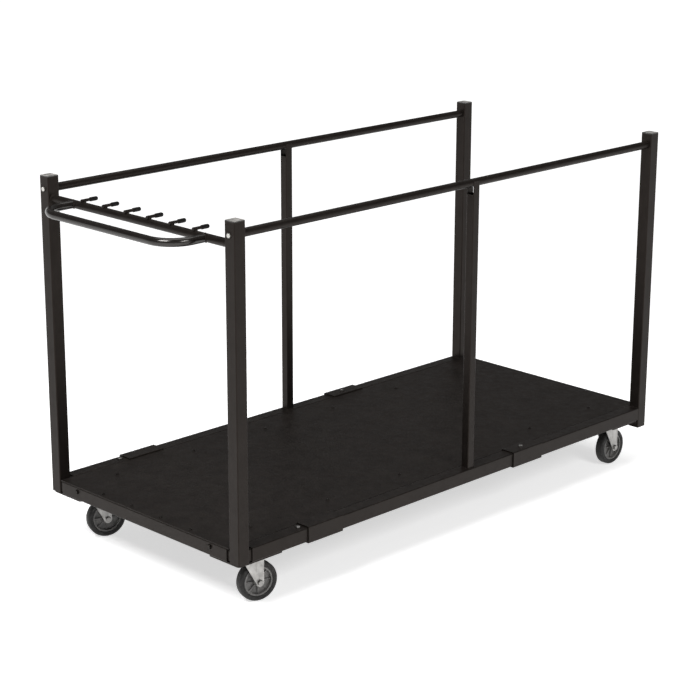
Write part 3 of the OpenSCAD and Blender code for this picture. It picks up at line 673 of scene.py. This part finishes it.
# Round each peg the seam is an oval that rides over the end rail
PEGS, PEG_D = 6, 9.5 * MM
PEG_SEAM_X, PEG_SEAM_Y, PEG_SEAM_RISE, PEG_BEAD_PITCH = 6.6 * MM, 4.4 * MM, 1.0 * MM, 2.2 * MM
peg_low, peg_high = span("spacer_pegs")
welds = []
for y in np.linspace(peg_low[1] + PEG_D / 2, peg_high[1] - PEG_D / 2, PEGS):
    x = PEG_SEAM_X * np.cos(circle)
    z = end_axis[2] + np.sqrt(tube_r ** 2 - x ** 2) + PEG_SEAM_RISE
    seam = np.stack([end_axis[0] + x, y + PEG_SEAM_Y * np.sin(circle), z], 1)
    welds.append(bead(seam, Z, PEG_BEAD, PEG_BEAD_PITCH, loop=True))
piece("peg_welds", welds, "frame", COAT)

TUBE_CORNER = 3 * MM
SADDLE_IN, SADDLE_SHORT = 0.9 * MM, 2 * MM
welds = []
for side in ("near", "far"):
    low, high = span(f"mid_upright_{side}")
    middle = (low + high) / 2
    foot = rounded_square(high[0] - low[0], TUBE_CORNER, [middle[0], middle[1], low[2]])
    welds.append(bead(foot, Z, HEAVY_BEAD, loop=True))
    for y in (low[1] + SADDLE_IN, high[1] - SADDLE_IN):
        line = [[low[0] + SADDLE_SHORT, y, high[2]], [high[0] - SADDLE_SHORT, y, high[2]]]
        welds.append(bead(line, Z, SADDLE_BEAD))
piece("upright_welds", welds, "frame", COAT)

NECK = 33 * MM
STUB_BEAD_START = 5 * MM
neck_in = (post_side - NECK) / 2
neck_levels = (base_z + neck_in, base_z + neck_in + NECK)
feet = (
    (*ENDS[0], span("core_tube_near")[1][2], neck_levels, neck_in),
    (*ENDS[1], span("corner_stub_load_near")[1][2], (drop_low[2], drop_high[2]), 0.0),
)
welds = []
for x, along, top, levels, inset in feet:
    face = x + along * post_side
    start = x + along * (inset + BEAD_STOPS_SHORT)
    stop = x + along * (post_side - inset - BEAD_STOPS_SHORT)
    for y, inward in SIDES:
        outer = y + inward * STUB_BEAD_START
        inner = y + inward * (post_side - BEAD_STOPS_SHORT)
        welds.append(bead([[face, outer, top], [face, inner, top]], Z, CORNER_BEAD))
        wall = y + inward * post_side
        for z in levels:
            welds.append(bead([[start, wall, z], [stop, wall, z]], Z, CORNER_BEAD))
piece("corner_welds", welds, "frame", COAT)

CROSS_TOP_SHORT = 2 * MM
welds = []
for end in ("handle", "load"):
    low, high = span(f"cross_member_{end}")
    start, stop = low + BEAD_STOPS_SHORT, high - BEAD_STOPS_SHORT
    for y in (low[1], high[1]):
        welds.append(bead([[start[0], y, high[2]], [stop[0], y, high[2]]], Z, CROSS_BEAD))
        for x in (low[0], high[0]):
            line = [[x, y, start[2]], [x, y, high[2] - CROSS_TOP_SHORT]]
            welds.append(bead(line, X, CROSS_BEAD))
piece("cross_member_welds", welds, "frame", COAT)


# Screws that hold the deck down to the bearers and the handle-end rail

SCREW_R, SCREW_HEIGHT = 5.2 * MM, 2.6 * MM
BEARER_SCREWS, BEARER_SCREWS_IN = 6, 160 * MM
END_SCREWS, END_SCREWS_IN = 4, 190 * MM
deck_low, deck_high = span("deck_sheet")
head = pan_head(SCREW_R, SCREW_HEIGHT)
along_bearers = np.linspace(deck_low[0] + BEARER_SCREWS_IN, deck_high[0] - BEARER_SCREWS_IN, BEARER_SCREWS)
across_end = np.linspace(deck_low[1] + END_SCREWS_IN, deck_high[1] - END_SCREWS_IN, END_SCREWS)
spots = [(x, y) for x in along_bearers for y in (bearer[1], -bearer[1])]
spots += [(frame_low[0] + post_side / 2, y) for y in across_end]
screws = [placed(head, (x, y, deck_high[2]), Z) for x, y in spots]
piece("deck_screws", screws, "frame", OXIDE)


# Camera, floor and studio light

PICTURE = 700
FOCAL_PX = 2005.58
AZIMUTH, ELEVATION, TILT = -45.0316, 16.7346, 0.1916
CAMERA_AT = Vector((-4.43984, -4.42575, 2.41742))
SEES_AS_FAR_AS = 200.0

azimuth, elevation = math.radians(AZIMUTH), math.radians(ELEVATION)
back = Vector((
    math.sin(azimuth) * math.cos(elevation),
    -math.cos(azimuth) * math.cos(elevation),
    math.sin(elevation),
))
lens = bpy.data.cameras.new("camera")
lens.sensor_width = 36.0
lens.lens = lens.sensor_width * FOCAL_PX / PICTURE
lens.clip_end = SEES_AS_FAR_AS
camera = bpy.data.objects.new("camera", lens)
bpy.context.scene.collection.objects.link(camera)
camera.rotation_mode = "QUATERNION"
level = (-back).to_track_quat("-Z", "Y").to_matrix()
camera.rotation_quaternion = (level @ Matrix.Rotation(math.radians(TILT), 3, "Z")).to_quaternion()
camera.location = CAMERA_AT
bpy.context.scene.camera = camera

SKY_LIGHT = 0.12
SKY_WHITE_BELOW, SKY_DARK_ABOVE = 0.04, 0.15
world = bpy.data.worlds.new("studio")
bpy.context.scene.world = world
world.use_nodes = True
sky = world.node_tree
direction = add_node(sky, "ShaderNodeTexCoord").outputs["Generated"]
height = add_node(sky, "ShaderNodeSeparateXYZ", {0: direction}).outputs["Z"]
fade = add_node(sky, "ShaderNodeMapRange", {
    "Value": height, "From Min": SKY_WHITE_BELOW, "From Max": SKY_DARK_ABOVE,
    "To Min": 1.0, "To Max": SKY_LIGHT}, interpolation_type="SMOOTHSTEP").outputs[0]
sky.nodes["Background"].inputs["Color"].default_value = (1, 1, 1, 1)
sky.links.new(fade, sky.nodes["Background"].inputs["Strength"])


def white_to_camera(tree, lit, white):
    """Shows white to the camera and in reflections, and the lit surface to everything else."""
    ray = add_node(tree, "ShaderNodeLightPath").outputs
    shine = add_node(tree, "ShaderNodeMath", {
        0: ray["Is Glossy Ray"], 1: ray["Is Transmission Ray"]}, operation="MAXIMUM").outputs[0]
    seen = add_node(tree, "ShaderNodeMath", {
        0: ray["Is Camera Ray"], 1: shine}, operation="MAXIMUM").outputs[0]
    return add_node(tree, "ShaderNodeMixShader", {0: seen, 1: lit, 2: white}).outputs[0]


FLOOR_HALF = 30.0
FLOOR_GREY, FLOOR_ROUGHNESS = 0.86, 0.9
GLOW_NEAR, GLOW_FAR = (2.0, 0.62), (9.0, 0.97)
ground = bpy.data.meshes.new("floor")
ground.from_pydata(
    [(-FLOOR_HALF, -FLOOR_HALF, 0), (FLOOR_HALF, -FLOOR_HALF, 0),
     (FLOOR_HALF, FLOOR_HALF, 0), (-FLOOR_HALF, FLOOR_HALF, 0)], [], [(0, 1, 2, 3)])
floor = bpy.data.objects.new("floor", ground)
bpy.context.scene.collection.objects.link(floor)
pale = Finish("pale_floor", (FLOOR_GREY,) * 3, FLOOR_ROUGHNESS, specular=0.0)
reach = pale.node("ShaderNodeVectorMath", {0: pale.coords}, operation="LENGTH").outputs["Value"]
rise = pale.node("ShaderNodeMapRange", {
    "Value": reach, "From Min": GLOW_NEAR[0], "To Min": GLOW_NEAR[1],
    "From Max": GLOW_FAR[0], "To Max": GLOW_FAR[1]}, interpolation_type="SMOOTHSTEP").outputs[0]
glow = pale.node("ShaderNodeEmission", {"Strength": rise}).outputs[0]
matte = pale.shader.outputs[0]
lifted = pale.node("ShaderNodeAddShader", {0: matte, 1: glow}).outputs[0]
shown = white_to_camera(pale.tree, matte, lifted)
pale.tree.links.new(shown, pale.tree.nodes["Material Output"].inputs["Surface"])
ground.materials.append(pale.material)
floor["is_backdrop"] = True


def softbox(name, at, toward, width, height, watts):
    """A rectangular lamp at a point, facing another."""
    lamp = bpy.data.lights.new(name, "AREA")
    lamp.shape = "RECTANGLE"
    lamp.size, lamp.size_y, lamp.energy = width, height, watts
    obj = bpy.data.objects.new(name, lamp)
    bpy.context.scene.collection.objects.link(obj)
    obj.location = at
    obj.rotation_mode = "QUATERNION"
    obj.rotation_quaternion = (Vector(toward) - Vector(at)).to_track_quat("-Z", "Y")


softbox("key", at=(-4.6, -0.8, 5.6), toward=(0, 0, 0.6), width=2.6, height=2.0, watts=320)
softbox("fill", at=(-0.7, -5.8, 4.5), toward=(0, 0, 0.6), width=2.2, height=1.8, watts=150)
softbox("top", at=(0.4, 0.6, 6.0), toward=(0, 0, 0.5), width=4.5, height=4.0, watts=110)

bpy.context.scene.view_settings.view_transform = "Standard"

low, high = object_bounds()
